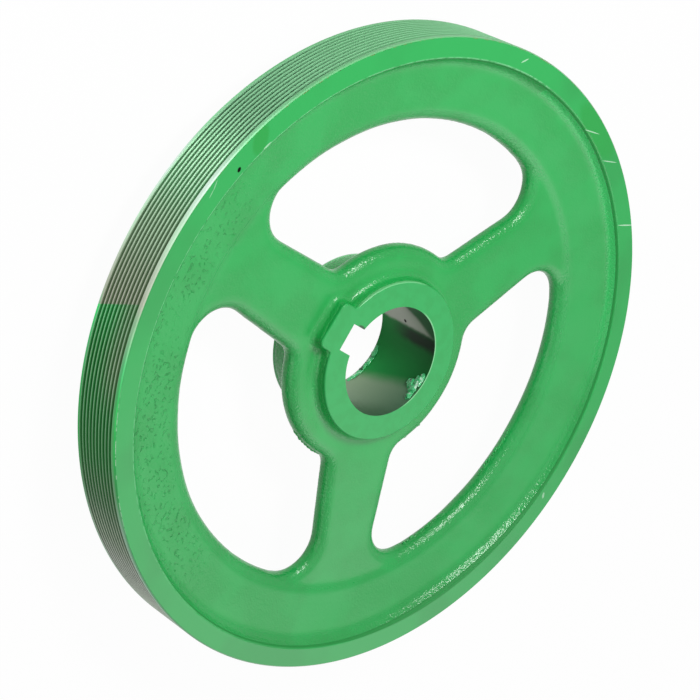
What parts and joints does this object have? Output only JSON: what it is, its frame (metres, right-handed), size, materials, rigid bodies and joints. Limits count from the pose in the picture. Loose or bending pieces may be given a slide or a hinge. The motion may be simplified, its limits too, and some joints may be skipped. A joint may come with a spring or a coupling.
{
  "type": "grooved pulley",
  "caption": "Cast and turned ribbed-belt pulley with open arms, a raised keyed boss and fine V grooves round its rim, painted green.",
  "frame": {"origin": "on the pulley's axis at the rear end of its hub, which it lies on", "axes": "+Z along the axis towards the keyed boss face, -Y towards the keyway"},
  "size_m": [0.292, 0.292, 0.0386],
  "materials": {
    "green_enamel": "gloss green enamel over cast and turned grey iron, thin over the belt grooves"
  },
  "bodies": {
    "root": {"grooved_pulley": "green_enamel"}
  },
  "joints": []
}
